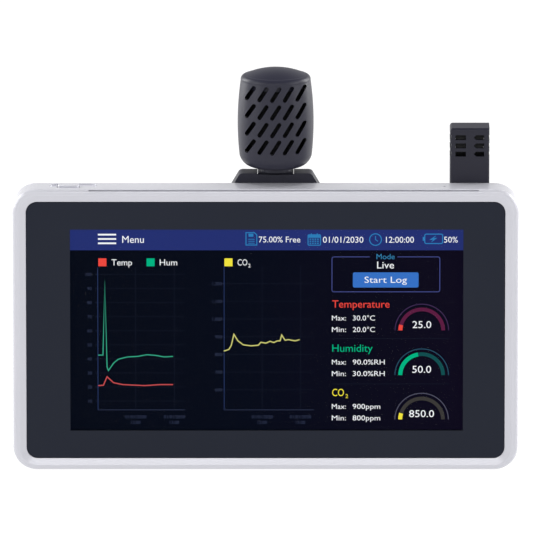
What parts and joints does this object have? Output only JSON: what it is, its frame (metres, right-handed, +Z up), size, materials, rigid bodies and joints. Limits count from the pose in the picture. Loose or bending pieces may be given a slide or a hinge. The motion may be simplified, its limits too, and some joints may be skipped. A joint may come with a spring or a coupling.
{
  "type": "carbon dioxide monitor",
  "caption": "Landscape touch-screen carbon dioxide monitor with a vented sensor head that folds back, a plug-in climate probe, a power button and a fold-out stand.",
  "frame": {"origin": "centre of the flat bottom that the case stands on", "axes": "+X to the right across the screen, +Z up, -Y out of the screen towards the user"},
  "size_m": [0.15, 0.0253, 0.1191],
  "materials": {
    "silver_plastic": "glossy silver-white",
    "cover_glass": "polished",
    "black_ink": "black print under glass",
    "screen_black": "display",
    "black_foam": "matte",
    "steel": "satin",
    "flex_film": "amber film",
    "board_green": "solder mask",
    "board_black": "solder mask",
    "chip_black": "matte",
    "battery_film": "foil",
    "dark_plastic": "fine satin",
    "head_plastic": "fine satin",
    "black_rubber": "matte",
    "screw_steel": "plated",
    "filter_mesh": "woven mesh",
    "module_gold": "plated",
    "gold_plate": "plated"
  },
  "bodies": {
    "case": {"front_frame": "silver_plastic", "cover_glass": "cover_glass", "border_mask": "black_ink", "display_panel": "screen_black", "glass_gasket": "black_foam", "backlight_tray": "steel", "display_flex": "flex_film", "main_board": "board_green", "board_chips": "chip_black", "usb_socket": "steel", "sounder": "chip_black", "power_switch": "chip_black", "battery_pack": "battery_film", "rear_cover": "dark_plastic", "foot_pads": "black_rubber", "case_screws": "screw_steel", "board_screws": "screw_steel", "cradle_screws": "screw_steel", "sensor_cradle": "dark_plastic", "tilt_pin": "screw_steel", "stand_pin": "screw_steel", "probe_socket": "chip_black"},
    "button": {"power_button": "silver_plastic"},
    "co2_head": {"head_shell": "head_plastic", "head_cap": "head_plastic", "head_knuckle": "head_plastic", "hinge_washers": "screw_steel", "neck_nut": "screw_steel", "vent_filter": "filter_mesh", "co2_board": "board_green", "co2_module": "module_gold"},
    "climate_probe": {"probe_front": "dark_plastic", "probe_back": "dark_plastic", "probe_plug": "gold_plate", "probe_board": "board_black", "climate_sensor": "chip_black"},
    "stand": {"stand_leg": "dark_plastic", "stand_pad": "black_rubber"}
  },
  "joints": [
    {"name": "button_press", "type": "slide", "parent": "case", "child": "button", "axis": [0, 0, -1], "range_m": [0, 0.0005], "stiffness_N_per_m": 400},
    {"name": "head_tilt", "type": "hinge", "parent": "case", "child": "co2_head", "pos_m": [0.003, 0.00306, 0.0836], "axis": [-1, 0, 0], "range_deg": [0, 90]},
    {"name": "probe_unplug", "type": "slide", "parent": "case", "child": "climate_probe", "axis": [0, 0, 1], "range_m": [0, 0.02]},
    {"name": "stand_fold", "type": "hinge", "parent": "case", "child": "stand", "pos_m": [0, 0.00985, 0.052], "axis": [1, 0, 0], "range_deg": [0, 45]}
  ]
}
